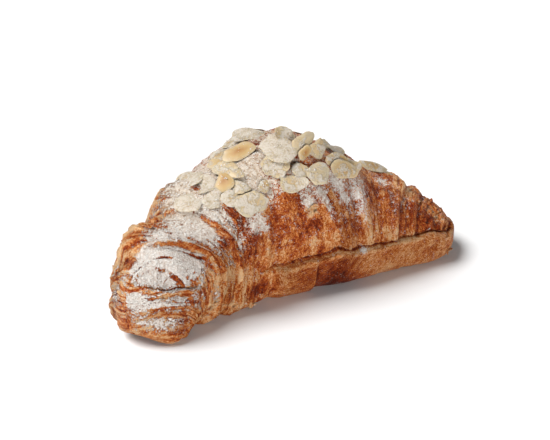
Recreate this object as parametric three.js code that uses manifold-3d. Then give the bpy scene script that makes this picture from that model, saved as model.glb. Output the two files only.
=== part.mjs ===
// Almond croissant, baked, sliced along its side and closed again, with flaked almonds baked onto the top.
// Millimetres, +Z up. It lies on its flat base with its length along X, its concave side towards -Y and its
// flatter, darker tip towards +X. The origin is the middle of the bounding box at the base.
import * as THREE from "three";
import { mergeVertices } from "three/addons/utils/BufferGeometryUtils.js";
import Module from "manifold-3d";

const DEGREE = Math.PI / 180;

// The spine is two arcs that leave the middle of the pastry along X and curl towards -Y.
const LEFT_CURL_RADIUS = 127;
const RIGHT_CURL_RADIUS = 195;

// Sections along the spine: half width on the concave (near) side and on the far side, and height of the crest.
const STATIONS = [
  { along: -82, near: 15.2, far: 13.7, crest: 29.8 },
  { along: -68, near: 18, far: 15.5, crest: 38.2 },
  { along: -51, near: 20.5, far: 19.9, crest: 43.9 },
  { along: -32, near: 23.6, far: 27.2, crest: 51.6 },
  { along: -9.5, near: 26.7, far: 34, crest: 61.2 },
  { along: 11.5, near: 29.5, far: 39.2, crest: 63.6 },
  { along: 32, near: 31, far: 34.3, crest: 53.4 },
  { along: 55, near: 24.8, far: 26.2, crest: 37.6 },
  { along: 89, near: 17, far: 14.1, crest: 20.6 },
];
const LEFT_END = STATIONS[0].along;
const RIGHT_END = STATIONS[STATIONS.length - 1].along;
const LEFT_CAP = 18; // length of the rounded end at the left tip
const RIGHT_CAP = 16;
const WAIST = 0.42; // height of the widest line, as a share of the crest
const DOME_POWER = 2.1; // roundness of the section above the widest line
const BASE_POWER = 4.4; // the base is boxier, because it lies on its tray
const BASE_SINK = 1.06; // the section is drawn this much too deep, and the tray flattens it
const TIP_HEIGHT = 0.25; // share of its height that the section keeps at the very tips
const SECTION_RADIUS = 28; // turns an angle around the section into millimetres

// Edges of the rolled layers: place at the crest, how far the edge leans along the spine towards the near and the
// far side, height of the step, length over which it dies away, and the side that stands proud (1 is towards +X).
const LAYER_EDGES = [
  { at: -78.5, nearLean: 15.5, farLean: 2, drop: 2.0, run: 7, proud: 1 },
  { at: -68.1, nearLean: 25.6, farLean: 6, drop: 3.4, run: 11, proud: 1 },
  { at: -47.4, nearLean: 12.4, farLean: 2, drop: 3.4, run: 14, proud: 1 },
  { at: 66.5, nearLean: -9, farLean: 0, drop: 2.8, run: 10, proud: -1 },
  { at: 76, nearLean: -10, farLean: 0, drop: 2.0, run: 8, proud: -1 },
];
// Grooves that run over the upper crust.
const GROOVES = [
  { at: -6.7, lean: 30.6, depth: 2.2, width: 3.4 },
  { at: 34, lean: 0, depth: 2.4, width: 3.6 },
  { at: 48, lean: 0, depth: 1.4, width: 3.2 },
  { at: -14, lean: 4, depth: 1.2, width: 4.0 },
];
const GROOVE_ENDS = 100; // degrees from the near side
const GROOVE_FADE = 30;
// Slow swells of the upper crust.
const SWELL = { height: 0.5, length: 5.1, drift: 17 };
const RIPPLE = { height: 0.35, length: 3.1 };
// Single lumps of torn and risen crust, and hollows between the rolled layers: place, size and height.
const LUMPS = [
  { at: -26.1, around: 26, long: 5, tall: 5.5, height: 3 },
  { at: -38.6, around: 37, long: 3.2, tall: 3.2, height: 1.8 },
  { at: 7.5, around: 29, long: 4, tall: 4, height: 2 },
  { at: -3.9, around: 43, long: 7, tall: 6, height: 1.8 },
  { at: -22.5, around: -32, long: 5, tall: 4, height: -2 },
  { at: -48, around: -24, long: 3, tall: 3, height: 1.2 },
  { at: -36, around: -30, long: 4, tall: 3, height: 1.4 },
  { at: -25, around: -40, long: 4, tall: 3, height: 1.2 },
  { at: -74, around: -38, long: 9, tall: 9, height: 4.5 },
  { at: -60, around: 128, long: 7, tall: 14, height: 2.6 },
  { at: -47.5, around: 124, long: 3.6, tall: 12, height: -4.4 },
  { at: -36, around: 131, long: 6, tall: 12, height: 2.8 },
  { at: -22.5, around: 114, long: 5, tall: 10, height: -3 },
  { at: -9, around: 116, long: 5, tall: 10, height: -0.6 },
  { at: -73, around: 146, long: 6, tall: 10, height: -2.2 },
];

// The knife cut along the near side: it opens left of the middle and runs round the right tip.
const CUT_HEIGHT = 17.8;
const CUT_ARCH = { rise: 2.2, at: 20, reach: 20 }; // it arches up past the middle
const CUT_DIP = { drop: 5, from: 72, run: 18 }; // and comes down at the right tip
const CUT_WAVE = { rise: 0.4, length: 2.9 };
const CUT_START = -24;
const CUT_FADE = 10;
const CUT_DEPTH = 2.8;
const CUT_HALF_WIDTH = 0.8;
const RIM = { rise: 0.9, below: 1.8, reach: 1.4 }; // the base's rim stands out under the cut
const TUCK = { depth: 1.0, reach: 4 }; // the upper crust is drawn in above it
const FOLD = { step: 1.2, from: -16, run: 8, to: 11, edge: 1.5 }; // the left part of the base is a fold
const TAIL = { step: 0.8, from: 74, run: 12 }; // the base stands out again at the right tip,
const TAIL_SLIDE = { from: 64, run: 24, base: 1.6, crust: -0.5, blend: 2.0 }; // and reaches past the crust
const WALL_START = -14; // the smoother wall under the cut begins here
const WALL_FADE = 12;
const WALL_CALM = 0.85; // share of the layers' relief that it loses

// Flaked almonds: place along the spine and around the section, length, width, turn in the surface,
// tip up towards the near side, and height of the flake's middle over the crust.
const FLAKES = [
  { at: -1.9, around: 105, length: 14.7, width: 8.9, turn: -41, tip: 20, lift: 0.9 },
  { at: -12, around: 89, length: 14.9, width: 8.8, turn: -10, tip: 16, lift: 1.3 },
  { at: -20.2, around: 91, length: 15.7, width: 7, turn: -76, tip: 0, lift: 0.4 },
  { at: -20.8, around: 82, length: 15, width: 7, turn: -72, tip: 0, lift: 0.5 },
  { at: 1.7, around: 75, length: 17.2, width: 14, turn: -79, tip: 0, lift: 1.0 },
  { at: -3.2, around: 66, length: 12.4, width: 10.7, turn: -46, tip: 0, lift: 0.4 },
  { at: -25.4, around: 77, length: 10.4, width: 7.8, turn: 50, tip: 0, lift: 0.9 },
  { at: -41.7, around: 85, length: 12, width: 10.3, turn: -76, tip: 0, lift: 0.5 },
  { at: -33.9, around: 73, length: 10.2, width: 7.8, turn: 30, tip: 0, lift: 0.5 },
  { at: -27.4, around: 63, length: 9.8, width: 7.4, turn: -57, tip: 0, lift: 0.5 },
  { at: -20.2, around: 51, length: 14.8, width: 10.2, turn: -18, tip: 6, lift: 1.0 },
  { at: 1.7, around: 50, length: 12.4, width: 7.8, turn: -18, tip: -12, lift: 0.8 },
  { at: 7.3, around: 83, length: 9.8, width: 7.8, turn: -14, tip: 48, lift: 2.4 },
  { at: 12.5, around: 74, length: 12.5, width: 8, turn: 45, tip: 44, lift: 2.4 },
  { at: 11.8, around: 68, length: 7.5, width: 5.2, turn: 48, tip: 40, lift: 1.4 },
  { at: 18.4, around: 71, length: 10, width: 7.8, turn: 61, tip: 44, lift: 2.2 },
  { at: 15.1, around: 53, length: 11.5, width: 9.2, turn: 32, tip: 6, lift: 0.9 },
  { at: 27.2, around: 66, length: 13, width: 7, turn: 15, tip: 36, lift: 1.5 },
  { at: 30.1, around: 59, length: 15.6, width: 7.8, turn: 7, tip: 30, lift: 1.2 },
  { at: 37, around: 70, length: 10.4, width: 5.8, turn: 14, tip: 36, lift: 0.8 },
  { at: 52.5, around: 101, length: 17, width: 6, turn: 20, tip: 26, lift: 1.3 },
  { at: -12, around: 57, length: 5.5, width: 4.5, turn: 44, tip: 0, lift: 0.4 },
  { at: -31.5, around: 103, length: 14.5, width: 10.5, turn: 72, tip: 0, lift: 0.7 },
  { at: 33, around: 88, length: 12, width: 7, turn: 30, tip: 8, lift: 0.6 },
  { at: 27.5, around: 89, length: 11, width: 7, turn: 40, tip: 8, lift: 0.6 },
  { at: -6.8, around: 115, length: 11, width: 7, turn: 34, tip: 14, lift: -0.5 },
  { at: -16.9, around: 106, length: 9.3, width: 6.9, turn: 26, tip: 14, lift: -0.4 },
  { at: -21.8, around: 66, length: 8.5, width: 6, turn: -54, tip: -10, lift: 0.4 },
  { at: -31, around: 86, length: 10.3, width: 9, turn: 55, tip: 0, lift: 0.4 },
  { at: 6.9, around: 57, length: 7.8, width: 6.4, turn: -38, tip: -6, lift: 0.4 },
  { at: 60, around: 104, length: 9.4, width: 5.2, turn: 16, tip: 16, lift: 0.5 },
  { at: 9, around: 134, length: 12, width: 8, turn: 30, tip: 0, lift: 0.0 },
  { at: 24, around: 126, length: 12, width: 8, turn: -40, tip: 0, lift: 0.0 },
  { at: -28, around: 126, length: 12, width: 8.5, turn: 70, tip: 0, lift: 0.5 },
  { at: 1, around: 140, length: 12, width: 8, turn: -20, tip: 0, lift: 0.0 },
];
const FLAKE_THICKNESS = 1.2;
const FLAKE_TAPER = 0.22; // one end of a flake is narrower than the other
const FLAKE_CUP = 0.5; // rise of its middle
const FLAKE_SIDES = 12;
const BED_SPREAD = 0.4; // size of the glaze under a flake, as a share of its length

// Grid of the crust.
const ROWS = 88;
const UNDER_COLUMNS = 8;
const CUT_OFFSETS = [-3.2, -1.8, -0.8, 0.2, 1, 2.6]; // heights of the grid lines that follow the cut
const DOME_COLUMNS = 24;
const FAR_BASE_COLUMNS = 8;
const END_CROWDING = 0.11; // draws the rows together at the tips

const clamp = THREE.MathUtils.clamp;
const ease = (t) => THREE.MathUtils.smoothstep(t, 0, 1);
const bell = (t) => Math.exp(-t * t);

// Smooth curve through one value of the stations.
function stationValue(along, key) {
  const last = STATIONS.length - 2;
  const i = clamp(STATIONS.findLastIndex((s) => s.along <= along), 0, last);
  const slope = (k) => {
    const before = STATIONS[Math.max(k - 1, 0)];
    const after = STATIONS[Math.min(k + 1, last + 1)];
    return (after[key] - before[key]) / (after.along - before.along);
  };
  const [from, to] = [STATIONS[i], STATIONS[i + 1]];
  const length = to.along - from.along;
  const t = clamp((along - from.along) / length, 0, 1);
  const blend = ease(t);
  const leave = t * (1 - t) ** 2 * length * slope(i);
  const arrive = t * t * (t - 1) * length * slope(i + 1);
  return from[key] * (1 - blend) + to[key] * blend + leave + arrive;
}

function spineAt(along) {
  const radius = along < 0 ? LEFT_CURL_RADIUS : RIGHT_CURL_RADIUS;
  const angle = along / radius;
  return { x: radius * Math.sin(angle), y: -radius * (1 - Math.cos(angle)), angle };
}

function sectionAt(along) {
  const left = clamp((LEFT_END + LEFT_CAP - along) / LEFT_CAP, 0, 1);
  const right = clamp((along - RIGHT_END + RIGHT_CAP) / RIGHT_CAP, 0, 1);
  const cap = Math.sqrt(1 - Math.max(left, right) ** 2);
  const crest = stationValue(along, "crest");
  const squash = TIP_HEIGHT + (1 - TIP_HEIGHT) * cap;
  return {
    cap,
    near: stationValue(along, "near") * cap,
    far: stationValue(along, "far") * cap,
    waist: crest * WAIST,
    up: crest * (1 - WAIST) * squash,
    down: crest * WAIST * BASE_SINK * squash,
  };
}

// Point of the plain section at an angle (0 near side, 90 crest, 180 far side), with its outward normal.
function sectionPoint(section, angle) {
  const [c, s] = [Math.cos(angle), Math.sin(angle)];
  const width = Math.max(c > 0 ? section.near : section.far, 1e-3);
  const height = s > 0 ? section.up : section.down;
  const power = s > 0 ? DOME_POWER : BASE_POWER;
  const reach = (Math.abs(c / width) ** power + Math.abs(s / height) ** power) ** (-1 / power);
  const normal = new THREE.Vector2((reach * c) / width ** 2, (reach * s) / height ** 2).normalize();
  return { across: reach * c, up: reach * s, normal };
}

function cutHeight(along) {
  const arch = CUT_ARCH.rise * bell((along - CUT_ARCH.at) / CUT_ARCH.reach);
  const dip = CUT_DIP.drop * ease((along - CUT_DIP.from) / CUT_DIP.run);
  return CUT_HEIGHT + arch - dip + CUT_WAVE.rise * Math.sin(along / CUT_WAVE.length);
}

function layerRelief(along, angle) {
  let rise = 0;
  const nearness = Math.cos(angle);
  for (const { at, nearLean, farLean, drop, run, proud } of LAYER_EDGES) {
    const edge = at + (nearness > 0 ? nearLean : farLean) * nearness + Math.sin(3 * angle + at);
    const past = proud * (along - edge);
    rise += (drop / 2) * Math.tanh(past) * Math.exp(-Math.abs(past) / run);
  }
  const upper = ease((GROOVE_ENDS - Math.abs(angle) / DEGREE) / GROOVE_FADE);
  for (const { at, lean, depth, width } of GROOVES) {
    const line = at + lean * Math.abs(nearness) + 0.8 * Math.sin(2.3 * angle + at);
    rise -= depth * bell((along - line) / width) * upper;
  }
  return rise;
}

function arcLength(angle, degrees) {
  const turn = angle - degrees * DEGREE;
  return SECTION_RADIUS * Math.atan2(Math.sin(turn), Math.cos(turn));
}

function lumpRelief(along, angle) {
  const upper = ease((Math.sin(angle) + 0.8) / 0.8);
  const swell = Math.sin(along / SWELL.length + 2 * Math.sin(2 * angle)) * Math.cos(3 * angle + along / SWELL.drift);
  const ripple = Math.sin(along / RIPPLE.length + 4 * angle);
  let rise = (SWELL.height * swell + RIPPLE.height * ripple) * upper;
  for (const { at, around, long, tall, height } of LUMPS)
    rise += height * bell((along - at) / long) * bell(arcLength(angle, around) / tall);
  for (const { at, around, length, lift } of FLAKES) {
    const spread = length * BED_SPREAD;
    rise += lift * bell((along - at) / spread) * bell(arcLength(angle, around) / spread);
  }
  return rise;
}

function cutRelief(along, angle, height) {
  const nearness = Math.cos(angle);
  const open = ease((along - CUT_START) / CUT_FADE) * ease((nearness + 0.25) / 0.3);
  const above = height - cutHeight(along);
  const rim = RIM.rise * bell((above + RIM.below) / RIM.reach);
  const gash = CUT_DEPTH * bell((above - 0.2) / CUT_HALF_WIDTH);
  const tuck = TUCK.depth * Math.exp(-Math.max(above, 0) / TUCK.reach) * ease(above / 0.5);
  const fold = FOLD.step * ease((FOLD.to - along) / FOLD.edge) * ease((along - FOLD.from) / FOLD.run);
  const tail = TAIL.step * ease((along - TAIL.from) / TAIL.run);
  const base = ease(-above / 1.5) * ease(nearness / 0.3);
  return open * (rim - gash - tuck + (fold + tail) * base);
}

// 1 on the wall under the cut, 0 elsewhere.
function baseWall(along, angle, height) {
  const under = ease((cutHeight(along) - height) / 1.5);
  return under * ease((along - WALL_START) / WALL_FADE) * ease((Math.cos(angle) + 0.3) / 0.3);
}

// How far a point near the right tip is moved along the spine.
function tailSlide(along, height) {
  const below = ease((cutHeight(along) + TAIL_SLIDE.blend / 2 - height) / TAIL_SLIDE.blend);
  const slide = TAIL_SLIDE.base * below + TAIL_SLIDE.crust * (1 - below);
  return slide * ease((along - TAIL_SLIDE.from) / TAIL_SLIDE.run);
}

// Point of the baked crust, or of the plain section under it.
function crustPoint(along, angle, baked = true) {
  const section = sectionAt(along);
  const { across, up, normal } = sectionPoint(section, angle);
  const height = section.waist + up;
  let rise = 0;
  if (baked) {
    rise = layerRelief(along, angle) * (1 - WALL_CALM * baseWall(along, angle, height));
    rise += lumpRelief(along, angle) + cutRelief(along, angle, height);
  }
  rise *= Math.min(section.cap * 1.3, 1);
  const out = across + normal.x * rise;
  const z = Math.max(height + normal.y * rise, 0);
  const spine = spineAt(along + tailSlide(along, height));
  return new THREE.Vector3(spine.x - Math.sin(spine.angle) * out, spine.y - Math.cos(spine.angle) * out, z);
}

// Angle at which the near side reaches a height.
function angleAtHeight(along, height) {
  const section = sectionAt(along);
  let [low, high] = [-85 * DEGREE, 60 * DEGREE];
  for (let i = 0; i < 24; i++) {
    const middle = (low + high) / 2;
    if (section.waist + sectionPoint(section, middle).up < height) low = middle;
    else high = middle;
  }
  return (low + high) / 2;
}

// Angles of the grid's columns, which follow the cut along the near side.
function columnAngles(along) {
  const cut = CUT_OFFSETS.map((offset) => angleAtHeight(along, cutHeight(along) + offset));
  const start = -90 * DEGREE;
  const dome = 180 * DEGREE;
  const spread = (from, to, count) => Array.from({ length: count }, (_, i) => from + ((to - from) * i) / count);
  const above = cut[cut.length - 1];
  return [
    ...spread(start, cut[0], UNDER_COLUMNS),
    ...cut,
    ...spread(above, dome, DOME_COLUMNS).slice(1),
    ...spread(dome, 270 * DEGREE, FAR_BASE_COLUMNS),
  ];
}

// Closed surface of rows of points between two end points.
function skinGeometry(start, rows, end) {
  const columns = rows[0].length;
  const points = [start, ...rows.flat(), end];
  const triangles = [];
  const vertex = (row, column) => 1 + row * columns + (column % columns);
  for (let column = 0; column < columns; column++) {
    triangles.push(0, vertex(0, column), vertex(0, column + 1));
    for (let row = 0; row + 1 < rows.length; row++) {
      const [a, b] = [vertex(row, column), vertex(row, column + 1)];
      const [c, d] = [vertex(row + 1, column), vertex(row + 1, column + 1)];
      triangles.push(a, c, b, b, c, d);
    }
    triangles.push(vertex(rows.length - 1, column + 1), vertex(rows.length - 1, column), points.length - 1);
  }
  const geometry = new THREE.BufferGeometry().setFromPoints(points);
  geometry.setIndex(triangles);
  return geometry;
}

function crustGeometry() {
  const alongAt = (t) => LEFT_END + (RIGHT_END - LEFT_END) * (t - END_CROWDING * Math.sin(2 * Math.PI * t));
  const rows = [];
  for (let i = 1; i < ROWS; i++) {
    const along = alongAt(i / ROWS);
    rows.push(columnAngles(along).map((angle) => crustPoint(along, angle)));
  }
  const tip = (end) => crustPoint(end, 0, false);
  return skinGeometry(tip(LEFT_END), rows, tip(RIGHT_END));
}

// Directions of the plain crust at a place: along it, around it and out of it.
function crustFrame(along, angle) {
  const step = 1e-3;
  const forward = crustPoint(along + step, angle, false).sub(crustPoint(along - step, angle, false)).normalize();
  const around = crustPoint(along, angle + step, false).sub(crustPoint(along, angle - step, false));
  const out = new THREE.Vector3().crossVectors(around, forward).negate().normalize();
  return { forward, across: new THREE.Vector3().crossVectors(out, forward), out };
}

// One flaked almond: a thin cupped plate with an outline that is narrower at one end.
function flakeGeometry({ at, around, length, width, turn, tip, lift }) {
  const rim = (z) =>
    Array.from({ length: FLAKE_SIDES }, (_, i) => {
      const angle = (2 * Math.PI * i) / FLAKE_SIDES;
      const narrow = 1 - FLAKE_TAPER * Math.cos(angle);
      return new THREE.Vector3((length / 2) * Math.cos(angle), (width / 2) * Math.sin(angle) * narrow, z);
    });
  const half = FLAKE_THICKNESS / 2;
  const under = new THREE.Vector3(0, 0, FLAKE_CUP - half);
  const over = new THREE.Vector3(0, 0, FLAKE_CUP + half);
  const geometry = skinGeometry(over, [rim(half), rim(-half)], under);
  const angle = around * DEGREE;
  const { forward, across, out } = crustFrame(at, angle);
  const seat = new THREE.Matrix4().makeBasis(forward, across, out);
  seat.setPosition(crustPoint(at, angle, false).addScaledVector(out, lift));
  const tipped = new THREE.Matrix4().makeRotationX(tip * DEGREE);
  const turned = new THREE.Matrix4().makeRotationZ(turn * DEGREE);
  return geometry.applyMatrix4(seat.multiply(tipped).multiply(turned));
}

const wasm = await Module();
wasm.setup();

function solidOf(geometry) {
  const merged = mergeVertices(geometry, 1e-4);
  return new wasm.Manifold(
    new wasm.Mesh({
      numProp: 3,
      vertProperties: merged.attributes.position.array,
      triVerts: new Uint32Array(merged.index.array),
    }),
  );
}

function geometryOf(solid) {
  const { vertProperties, triVerts } = solid.getMesh();
  const geometry = new THREE.BufferGeometry();
  geometry.setAttribute("position", new THREE.BufferAttribute(new Float32Array(vertProperties), 3));
  geometry.setIndex(new THREE.BufferAttribute(new Uint32Array(triVerts), 1));
  return geometry;
}

function centreOnBase(geometry) {
  geometry.computeBoundingBox();
  const { min, max } = geometry.boundingBox;
  return geometry.translate(-(min.x + max.x) / 2, -(min.y + max.y) / 2, -min.z);
}

// The crust with its flakes. Where fusing seals a pocket between a flake and the crust, the pocket is filled.
function fusedBody() {
  const fused = wasm.Manifold.union([crustGeometry(), ...FLAKES.map(flakeGeometry)].map(solidOf));
  return fused.decompose().reduce((body, other) => (other.volume() > body.volume() ? other : body));
}

function makeCroissant() {
  const geometry = centreOnBase(geometryOf(fusedBody()));
  geometry.computeVertexNormals();
  const material = new THREE.MeshStandardMaterial({ color: 0xb9763c, roughness: 0.75, metalness: 0 });
  const mesh = new THREE.Mesh(geometry, material);
  mesh.name = "croissant";
  return mesh;
}

const almondCroissant = new THREE.Group();
almondCroissant.add(makeCroissant());

export default almondCroissant;
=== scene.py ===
"""An almond croissant on a white floor: flaky crust, flaked almonds and icing sugar.

Shapes are worked out in millimetres in the pastry's own coordinates: "along" is the distance along its
curled spine, and the angle runs around the section (0 near side, 90 crest, 180 far side, -90 base).
"""
import math

import bpy
import numpy as np
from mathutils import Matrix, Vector


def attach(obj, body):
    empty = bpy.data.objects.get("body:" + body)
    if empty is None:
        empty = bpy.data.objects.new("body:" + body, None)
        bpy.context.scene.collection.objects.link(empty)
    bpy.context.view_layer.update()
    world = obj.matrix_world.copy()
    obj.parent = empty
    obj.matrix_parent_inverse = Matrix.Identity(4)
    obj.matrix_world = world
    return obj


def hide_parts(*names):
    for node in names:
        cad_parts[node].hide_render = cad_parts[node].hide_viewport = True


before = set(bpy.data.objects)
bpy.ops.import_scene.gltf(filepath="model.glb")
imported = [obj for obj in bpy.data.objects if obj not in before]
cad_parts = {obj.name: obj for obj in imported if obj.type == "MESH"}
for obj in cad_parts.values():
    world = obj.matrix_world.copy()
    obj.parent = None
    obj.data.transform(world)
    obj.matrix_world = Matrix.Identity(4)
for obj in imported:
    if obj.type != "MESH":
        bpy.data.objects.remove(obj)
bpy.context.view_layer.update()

MM = 0.001
DEGREE = math.pi / 180
CENTRE = (5.236, 1.921)  # middle of the pastry's box, seen from where its spine starts

# The pastry's plain form: spine, sections and end caps.
LEFT_CURL_RADIUS = 127.0
RIGHT_CURL_RADIUS = 195.0
STATIONS = np.array([  # along, half width near, half width far, crest height
    (-82, 15.2, 13.7, 29.8),
    (-68, 18, 15.5, 38.2),
    (-51, 20.5, 19.9, 43.9),
    (-32, 23.6, 27.2, 51.6),
    (-9.5, 26.7, 34, 61.2),
    (11.5, 29.5, 39.2, 63.6),
    (32, 31, 34.3, 53.4),
    (55, 24.8, 26.2, 37.6),
    (89, 17, 14.1, 20.6),
])
LEFT_END, RIGHT_END = STATIONS[0, 0], STATIONS[-1, 0]
LEFT_CAP = 18.0
RIGHT_CAP = 16.0
WAIST = 0.42
DOME_POWER = 2.1
BASE_POWER = 4.4
BASE_SINK = 1.06
SECTION_RADIUS = 28.0

# Edges of the rolled layers: at the crest, lean to the near side, lean to the far side, drop, run,
# and 1 or -1 for the side that stands proud.
LAYER_EDGES = [
    (-78.5, 15.5, 2, 2, 7, 1),
    (-68.1, 25.6, 6, 3.4, 11, 1),
    (-47.4, 12.4, 2, 3.4, 14, 1),
    (66.5, -9, 0, 2.8, 10, -1),
    (76, -10, 0, 2, 8, -1),
]
# Grooves over the upper crust: at the crest, lean towards either side, depth, width.
GROOVES = [
    (-6.7, 30.6, 2.2, 3.4),
    (34, 0, 2.4, 3.6),
    (48, 0, 1.4, 3.2),
    (-14, 4, 1.2, 4),
]
# Lumps of torn crust: along, around, size along, size around, height.
LUMPS = [
    (-26.1, 26, 5, 5.5, 3),
    (-38.6, 37, 3.2, 3.2, 1.8),
    (7.5, 29, 4, 4, 2),
    (-3.9, 43, 7, 6, 1.8),
    (-22.5, -32, 5, 4, -2),
    (-48, -24, 3, 3, 1.2),
    (-36, -30, 4, 3, 1.4),
    (-25, -40, 4, 3, 1.2),
    (-74, -38, 9, 9, 4.5),
    (-60, 128, 7, 14, 2.6),
    (-47.5, 124, 3.6, 12, -4.4),
    (-36, 131, 6, 12, 2.8),
    (-22.5, 114, 5, 10, -3),
    (-9, 116, 5, 10, -0.6),
    (-73, 146, 6, 10, -2.2),
]
# The lines that the layers follow: place at the crest, lean to the near side, lean to the far side.
LAYER_LINES = [
    (-100, 26, 0),
    (-78.5, 15.5, 2),
    (-68.1, 25.6, 6),
    (-47.4, 12.4, 2),
    (-30, 8, 0),
    (-6.7, 30.6, -10),
    (34, 0, 0),
    (66.5, -9, 0),
    (76, -10, 0),
    (104, -6, 0),
]

OUTERMOST = 8.0  # the layer line of the outermost sheet, from which the sheets step down to both tips
TIP_LINES_FROM = -68.0  # from here to the left end the lines turn until they lie level around the tip
TIP_LINES_BLEND = 11.0
TIP_LINE = -98.0
FAN_FROM = -22.0  # left of here the layers' edges fan out
FAN_BLEND = 14.0
FAR_FAN_FROM = -26.0
FAR_FAN_BLEND = 12.0
FRAY_FROM = 56.0  # right of here the layers are frayed
FRAY_BLEND = 20.0

# Fine relief of the crust, in mm: pitches across the layers, pitches around the pastry, and heights.
WARP, WARP_PITCH = 2.4, 9.0
RIDGE_HEIGHT, RIDGE_ON_FAN, RIDGE_PITCH, RIDGE_REACH = 0.4, 0.2, 1.9, 12.0
LAMINA_HEIGHT, LAMINA_PITCH, LAMINA_REACH = 1.1, 1.5, 18.0
PLEAT_HEIGHT, PLEAT_PITCH, PLEAT_REACH = 3.0, 6.5, 34.0
# Torn sheets: pitch, raggedness, seed, height, how much higher on the fan and where the crust is frayed.
SHEETS = [
    (5.2, 4.0, 51, 0.7, 0.6, 0.9),
    (2.3, 2.4, 61, 0.5, 0.3, 0.5),
]
# Crackle: pitch along, pitch around, seed, height.
CRACKLE = [
    (4.5, 6.0, 23, 1.3),
    (1.5, 1.9, 29, 0.9),
]
SWELL_HEIGHT, SWELL_PITCH = 0.5, 5.1
RIPPLE_HEIGHT, RIPPLE_PITCH = 0.35, 3.1
RAGGED_HEIGHT, RAGGED_FROM, RAGGED_BLEND = 2.6, 68.0, 10.0

# Thin cracks in the sugar at the left tip: at the crest, lean to the near side, from angle, to angle.
CRACKS = [
    (-75.2, 19, 55, 100),
    (-71.4, 25.6, 32, 78),
]
CRACK_DEPTH = 0.8
CRACK_HALF_WIDTH = 0.35
# The lowest layer at the left tip: its upper edge falls slowly to the right and stands a little proud.
LOBE_EDGE_HEIGHT = 23.0
LOBE_EDGE_FROM = -64.0
LOBE_EDGE_SLOPE = 0.3
LOBE_EDGE_DIP = 1.4
LOBE_DIP_PLACE = -71.5
LOBE_DIP_REACH = 3.5
LOBE_STEP = 0.8
LOBE_BLEND = 0.8
LOBE_END = -50.0
LOBE_FADE = 12.0
LOBE_TAPER = 9.0
LOBE_CRACK_HALF_WIDTH = 0.32
ARCH_PLACE = (-64.0, -6.0)  # middle of the arches that the lobe's layers follow: place along X, height

# The knife cut along the near side.
CUT_HEIGHT = 17.8
CUT_RISE = 2.2
CUT_DIP = 5.0
CUT_START = -24.0
CUT_FADE = 10.0
CUT_DEPTH = 1.8
CUT_HALF_WIDTH = 0.35
RIM_HEIGHT = 0.9
TUCK = 0.8
FOLD_STEP = 1.2
TAIL_STEP = 0.8
TAIL_REACH = 1.6
TAIL_RETREAT = 0.5
TAIL_BLEND = 2.0
TAIL_FROM = 64.0
WALL_START = -14.0
WALL_FADE = 12.0
WALL_EDGE = 1.5
WALL_SLANT = 1.1
BROAD_FOLD, NARROW_FOLD = 0.9, 0.6

# Flaked almonds: along, around, length, width, turn, tip, lift, toast (0 pale to 1 brown in the middle).
FLAKES = [
    (-1.9, 105, 14.7, 8.9, -41, 20, 0.9, 0.1),
    (-12, 89, 14.9, 8.8, -10, 16, 1.3, 0.7),
    (-20.2, 91, 15.7, 7, -76, 0, 0.4, 0.5),
    (-20.8, 82, 15, 7, -72, 0, 0.5, 0.3),
    (1.7, 75, 17.2, 14, -79, 0, 1, 0),
    (-3.2, 66, 12.4, 10.7, -46, 0, 0.4, 0.35),
    (-25.4, 77, 10.4, 7.8, 50, 0, 0.9, 0.8),
    (-41.7, 85, 12, 10.3, -76, 0, 0.5, 0.3),
    (-33.9, 73, 10.2, 7.8, 30, 0, 0.5, 0.2),
    (-27.4, 63, 9.8, 7.4, -57, 0, 0.5, 0.4),
    (-20.2, 51, 14.8, 10.2, -18, 6, 1, 0.3),
    (1.7, 50, 12.4, 7.8, -18, -12, 0.8, 0.3),
    (7.3, 83, 9.8, 7.8, -14, 48, 2.4, 0.2),
    (12.5, 74, 12.5, 8, 45, 44, 2.4, 0.1),
    (11.8, 68, 7.5, 5.2, 48, 40, 1.4, 0.8),
    (18.4, 71, 10, 7.8, 61, 44, 2.2, 0.4),
    (15.1, 53, 11.5, 9.2, 32, 6, 0.9, 0.1),
    (27.2, 66, 13, 7, 15, 36, 1.5, 0.8),
    (30.1, 59, 15.6, 7.8, 7, 30, 1.2, 0.6),
    (37, 70, 10.4, 5.8, 14, 36, 0.8, 0.3),
    (52.5, 101, 17, 6, 20, 26, 1.3, 0.6),
    (-12, 57, 5.5, 4.5, 44, 0, 0.4, 0.7),
    (-31.5, 103, 14.5, 10.5, 72, 0, 0.7, 0.1),
    (33, 88, 12, 7, 30, 8, 0.6, 0.2),
    (27.5, 89, 11, 7, 40, 8, 0.6, 0.2),
    (-6.8, 115, 11, 7, 34, 14, -0.5, 0.4),
    (-16.9, 106, 9.3, 6.9, 26, 14, -0.4, 0.4),
    (-21.8, 66, 8.5, 6, -54, -10, 0.4, 0.1),
    (-31, 86, 10.3, 9, 55, 0, 0.4, 0.15),
    (6.9, 57, 7.8, 6.4, -38, -6, 0.4, 0.2),
    (60, 104, 9.4, 5.2, 16, 16, 0.5, 0.5),
    (9, 134, 12, 8, 30, 0, 0, 0.3),
    (24, 126, 12, 8, -40, 0, 0, 0.5),
    (-28, 126, 12, 8.5, 70, 0, 0.5, 0.3),
    (1, 140, 12, 8, -20, 0, 0, 0.4),
]
FLAKE_THICKNESS = 0.65
FLAKE_TAPER = 0.14
FLAKE_CUP = 0.5
BED_SPREAD = 0.4
BED_SHARE = 0.35
FLAKE_RAISE = 0.6
CALM_SPREAD = 0.5
SUGAR_FILL = 0.6


# ---------------- helpers


def ease(t):
    t = np.clip(t, 0, 1)
    return t * t * (3 - 2 * t)


def bell(t):
    return np.exp(-t * t)


def lattice(x, y, z, seed):
    """A repeatable random value from 0 to 1 for each whole-numbered place."""
    h = x * 374761393 + y * 668265263 + z * 1442695041 + seed * 974634277
    h = (h ^ (h >> 13)) & 0x7FFFFFFF
    h = (h * 1274126177) & 0x7FFFFFFFFFFF
    return ((h ^ (h >> 16)) & 0xFFFF) / 65535.0


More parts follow.
